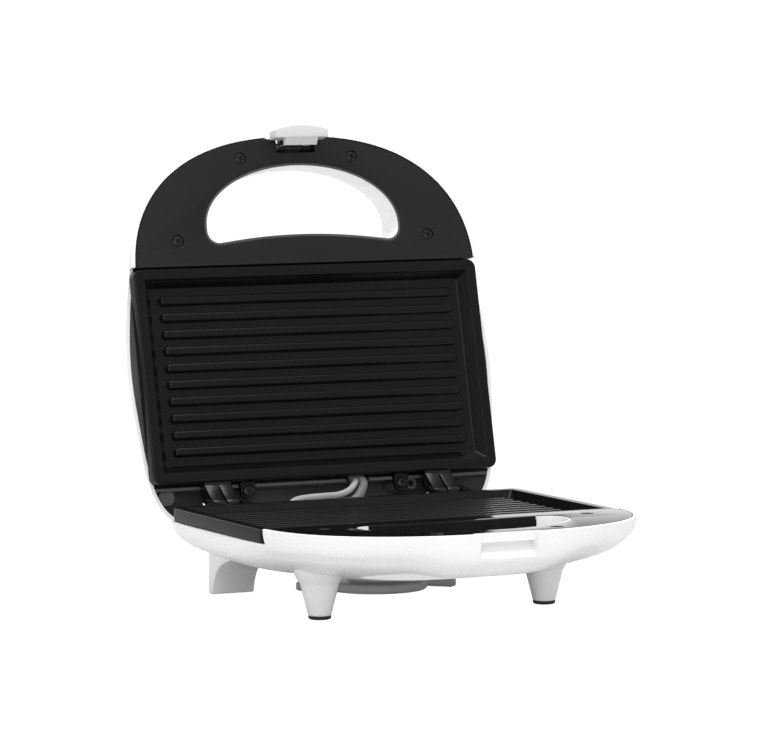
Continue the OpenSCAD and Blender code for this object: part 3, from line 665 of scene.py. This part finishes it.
def plate_body():
    """Cast plate drawn for the base: rim, sloping trough, ribs, rear ears and the posts under it."""
    floor = PLATE_TOP - PAN_DEPTH
    outer, inner = 0.9, 0.8
    underside = [(8, 44, 1), (8, 41.5, 1), (6, 41.5, 2), (6, 44, 2), (3.2, 44, 3), (3.2, 45.5, 3),
                 (0.4, 45.5, 5), (0, 45.9, 5)]
    rings = [plate_ring(inset, z, r) for inset, z, r in underside]
    for a in (0, 22, 45, 67, 90):
        t = math.radians(a)
        rings.append(plate_ring(outer * (1 - math.cos(t)), PLATE_TOP - outer * (1 - math.sin(t)), 5))
    for a in (0, 22, 45, 67):
        t = math.radians(a)
        rings.append(plate_ring(5.9 + inner * math.sin(t) * 0.8, PLATE_TOP - inner * (1 - math.cos(t)), 1.2))
    for share in (0.9, 0.6, 0.35, 0.18):
        rings.append(plate_ring(11 - 4 * share, floor + (PAN_DEPTH - 1) * share, 0.9))
    rings += [plate_ring(10.7, floor + 0.35, 0.8), plate_ring(11.4, floor, 0.8)]
    body = lofted(rings)
    ease = 1.7
    y0 = PLATE_D / 2 - (RIBS - 1) * RIB_PITCH / 2
    for i in range(RIBS):
        y = y0 + i * RIB_PITCH
        levels = [(0, floor - 0.5), (0, floor + RIB_H - ease)]
        for a in (18, 36, 54, 72, 90):
            t = math.radians(a)
            levels.append((ease * (1 - math.cos(t)), floor + RIB_H - ease * (1 - math.sin(t))))
        rib = []
        for inset, z in levels:
            r = RIB_R - inset
            ring = []
            for side, start in ((1, -90), (-1, 90)):
                for j in range(17):
                    t = math.radians(start + 180 * j / 16)
                    ring.append((side * RIB_HALF_LENGTH + r * math.cos(t), y + r * math.sin(t), z))
            rib.append(ring)
        union(body, lofted(rib))
    for s in (-1, 1):
        union(body, box((s * EAR_X - 4.6, PLATE_D - 3, 44), (s * EAR_X + 4.6, EAR_Y, 47)),
              post(s * EAR_X, EAR_Y, 44, 47, 4.6))
        cut(body, post(s * EAR_X, EAR_Y, 40, 50, 1.8))
    for x, y in REFLECTOR_POSTS:
        union(body, post(x, y, 36.1, 44.5, 4))
        cut(body, post(x, y, 30, 43, BOSS_HOLE_R))
    return body


def grill_plates():
    lid_plate = moved(moved(plate_body(), FLIP), SWING)
    piece(moved(plate_body(), PLACE), "base_grill_plate", "nonstick_plate", "base", "lower_plate")
    piece(lid_plate, "lid_grill_plate", "nonstick_plate", "lid", "upper_plate")


# ---- screws ----
def screw(x, y, top, head_r, head_h, shank_r, length):
    """Pan-head screw with a cross recess, standing with its head on top."""
    under = top - head_h
    profile = [(shank_r * 0.3, under - length), (shank_r, under - length + 1), (shank_r, under),
               (head_r - 0.1, under), (head_r, under + 0.12), (head_r, top - head_h * 0.5),
               (head_r * 0.95, top - head_h * 0.28),
               (head_r * 0.8, top - head_h * 0.1), (head_r * 0.5, top - head_h * 0.02), (head_r * 0.1, top)]
    body = turned(x, y, profile, 40)
    for angle in (20, 110):
        slot = box((-head_r * 0.6, -0.42, -head_h * 0.72), (head_r * 0.6, 0.42, head_h))
        moved(slot, Matrix.Translation((x, y, top)) @ Matrix.Rotation(math.radians(angle), 4, "Z"))
        cut(body, slot)
    return body


def plate_and_cover_screws():
    for level, body, matrix in (("lower", "base", PLACE), ("upper", "lid", SWING @ FLIP)):
        ears = joined([screw(s * EAR_X, EAR_Y, 48.65, 3.3, 1.6, SCREW_SHANK_R, 11) for s in (-1, 1)])
        covers = joined([screw(x, y, COVER_UNDER + 2.45, 3.2, 1.4, SCREW_SHANK_R, 9)
                         for x, y in COVER_SCREWS])
        piece(moved(ears, matrix), f"{body}_plate_screws", "black_screw", body, f"{level}_plate_screws")
        piece(moved(covers, matrix), f"{body}_cover_screws", "black_screw", body, f"{level}_cover_screws")


# ---- wiring between the halves ----
# Routes from the lid's end to the base's end, in the open pose
SLEEVE = [(19.5, 164.5, 65), (19.6, 162.8, 62), (19.6, 160.3, 60.2), (19.4, 157, 60.1), (18.3, 153.4, 59.1),
          (15.2, 150, 56.9), (11, 148, 54.5), (3.5, 146, 52.8), (-6.5, 144, 52.8), (-16.5, 142, 52.7),
          (-25.2, 140, 52.1), (-30.5, 138.3, 50), (-33.5, 136.5, 46), (-34.5, 135, 40), (-34.5, 134, 29.2)]
GUARD = [(24.8, 164.8, 64.5), (24.8, 163, 61.5), (24.7, 160.3, 59.6), (24.4, 157, 59.3), (23.6, 153.4, 57.6),
         (20.8, 150, 54.4), (16.4, 146.5, 50.8), (11.4, 143.8, 48.3), (6.5, 142, 45), (5, 140, 40),
         (5, 138.5, 30.7)]


def wiring():
    for name, slot, route, node, made in (
            ("wire_silicone_sleeve", "silicone_sleeve", SLEEVE, "wire_sleeve", tube(SLEEVE, 1.9)),
            ("wire_helical_guard", "coil_guard", GUARD, "wire_coil_guard",
             tube(GUARD, 2.7, 20, 22, 0.75))):
        ob = moved(made, PLACE)
        ob.name = ob.data.name = name
        sharp_edges(ob.data, 60)
        ob.data.materials.append(MATERIALS[slot])
        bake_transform(ob)
        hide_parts(node)


# ---- stage ----
FLOOR_HALF = 15
# Name, place in metres, size in metres, watts
STUDIO_LIGHTS = [("overhead", (-0.1, 0.1, 1.9), 1.3, 30), ("front", (-0.9, -2.4, 0.75), 1.6, 19)]
LIGHTS_AIM = Vector((0, 0, 0.12))


def emissive(name, colour, glow):
    material = finish_material(name, colour, 0.8, 0.004)
    shader = material.node_tree.nodes["Principled BSDF"]
    shader.inputs["Emission Color"].default_value = (1, 1, 1, 1)
    shader.inputs["Emission Strength"].default_value = glow
    shader.inputs["Specular IOR Level"].default_value = 0.0
    return material


def studio_world():
    """Soft grey surround, dark below the table and bright behind the object."""
    world = bpy.data.worlds.new("studio")
    bpy.context.scene.world = world
    world.use_nodes = True
    tree = world.node_tree
    split = tree.nodes.new("ShaderNodeSeparateXYZ")
    tree.links.new(tree.nodes.new("ShaderNodeTexCoord").outputs["Generated"], split.inputs[0])

    def ramp(axis, low, high, at_low, at_high):
        node = tree.nodes.new("ShaderNodeMapRange")
        node.interpolation_type = "SMOOTHSTEP"
        for key, value in (("From Min", low), ("From Max", high), ("To Min", at_low), ("To Max", at_high)):
            node.inputs[key].default_value = value
        tree.links.new(split.outputs[axis], node.inputs["Value"])
        return node.outputs["Result"]

    def math_node(operation, a, b):
        node = tree.nodes.new("ShaderNodeMath")
        node.operation = operation
        tree.links.new(a, node.inputs[0])
        tree.links.new(b, node.inputs[1])
        return node.outputs[0]

    backdrop = math_node("MULTIPLY", ramp("Y", 0.2, 0.75, 0, 0.4), ramp("Z", -0.12, 0.01, 0, 1))
    total = math_node("ADD", ramp("Z", -0.4, 0.05, 0.1, 0.8), backdrop)
    tree.links.new(total, tree.nodes["Background"].inputs["Strength"])
    tree.nodes["Background"].inputs["Color"].default_value = (1, 1, 1, 1)


def stage():
    """White floor for the camera, a bounce card under it, the surround and two lamps."""
    corners = [(-FLOOR_HALF, -FLOOR_HALF, 0), (FLOOR_HALF, -FLOOR_HALF, 0),
               (FLOOR_HALF, FLOOR_HALF, 0), (-FLOOR_HALF, FLOOR_HALF, 0)]
    ground = solid(corners, [(0, 1, 2, 3)])
    ground.name, ground.location.z = "studio_floor", -0.0004
    ground.data.materials.append(emissive("studio_floor", (0.1, 0.1, 0.1), 1.0))
    ground.visible_diffuse = ground.visible_glossy = ground.visible_shadow = False
    # Table top that the camera doesn't see. It throws lamp light back up and holds the object's shade.
    bounce = solid(corners, [(0, 1, 2, 3)])
    bounce.name, bounce.location.z = "bounce_card", -0.001
    bounce.data.materials.append(emissive("bounce_card", (0.6, 0.6, 0.6), 0.0))
    bounce.visible_camera = False
    studio_world()
    for name, place, size, watts in STUDIO_LIGHTS:
        light = bpy.data.lights.new(name, "AREA")
        light.size = size
        light.energy = watts
        ob = bpy.data.objects.new(name, light)
        bpy.context.scene.collection.objects.link(ob)
        ob.location = place
        ob.rotation_mode = "QUATERNION"
        ob.rotation_quaternion = (LIGHTS_AIM - Vector(place)).to_track_quat("-Z", "Y")
    bpy.context.scene.view_settings.view_transform = "Standard"


def camera():
    """Long lens from the front left, a little above the table."""
    azimuth, elevation, roll = (math.radians(a) for a in (25.998, 4.665, -0.188))
    target, distance = Vector((-0.02963, -0.04453, 0.13513)), 2.493
    level = Vector((math.cos(azimuth), -math.sin(azimuth), 0))
    back = Vector((-math.sin(azimuth) * math.cos(elevation), -math.cos(azimuth) * math.cos(elevation),
                   math.sin(elevation)))
    upright = back.cross(level)
    right = math.cos(roll) * level + math.sin(roll) * upright
    up = math.cos(roll) * upright - math.sin(roll) * level
    data = bpy.data.cameras.new("camera")
    data.lens, data.sensor_width = 211.76, 36
    data.clip_start, data.clip_end = 0.05, 60
    ob = bpy.data.objects.new("camera", data)
    bpy.context.scene.collection.objects.link(ob)
    rotation = Matrix((right, up, back)).transposed().to_4x4()
    ob.matrix_world = Matrix.Translation(target + distance * back) @ rotation
    bpy.context.scene.camera = ob


camera()
stage()
base_casing()
lid_casing()
base_handle_cover()
lid_handle_cover()
grill_plates()
plate_and_cover_screws()
wiring()
refined("lower_hinge_brackets", "base_hinge_brackets", "black_bracket", 0.3)
refined("upper_hinge_brackets", "lid_hinge_brackets", "black_bracket", 0.3)
refined("lower_bracket_screws", "base_bracket_screws", "zinc_screw", 0.15)
refined("upper_bracket_screws", "lid_bracket_screws", "zinc_screw", 0.15)
refined("hinge_pins", "headed_hinge_pins", "pin_steel", 0.2)
refined("front_foot_pads", "front_rubber_pads", "foot_rubber", 0.3)
refined("cord_spool", "cord_storage_spool", "grey_plastic", 0.35)
refined("cord_spool_screws", "spool_screws", "zinc_screw", 0.15)
into_closed = SWING.inverted()


def recess_faces_painted_shade(face):
    """Latch faces in the lid's recess that face neither out nor up when the lid is closed. They are coloured
    satin black as painted shade; the latch itself is one colour.
    """
    normal = (into_closed.to_3x3() @ face.normal).normalized()
    return (into_closed @ face.center).z > 53 and normal.y > -0.3 and normal.z < 0.3


# The latch's faces inside the recess take the satin black as painted shade.
refined("latch", "front_latch", "white_shell", 0.6, 3, [LATCH_WHITE, SATIN_BLACK],
        inner=recess_faces_painted_shade)
refined("latch_pin", "latch_pivot_pin", "pin_steel", 0.2, materials=[DARK_STEEL])
refined("indicator_lenses", "indicator_red_lenses", "red_lens", 0.2)
spring = nodes["latch_spring"]
spring.data.materials.clear()
spring.data.materials.append(DARK_STEEL)
for slot_name, members in SLOT_NODES.items():
    for member in members:
        cad_node = nodes[member]
        cad_node.data.materials.clear()
        cad_node.data.materials.append(MATERIALS[slot_name])
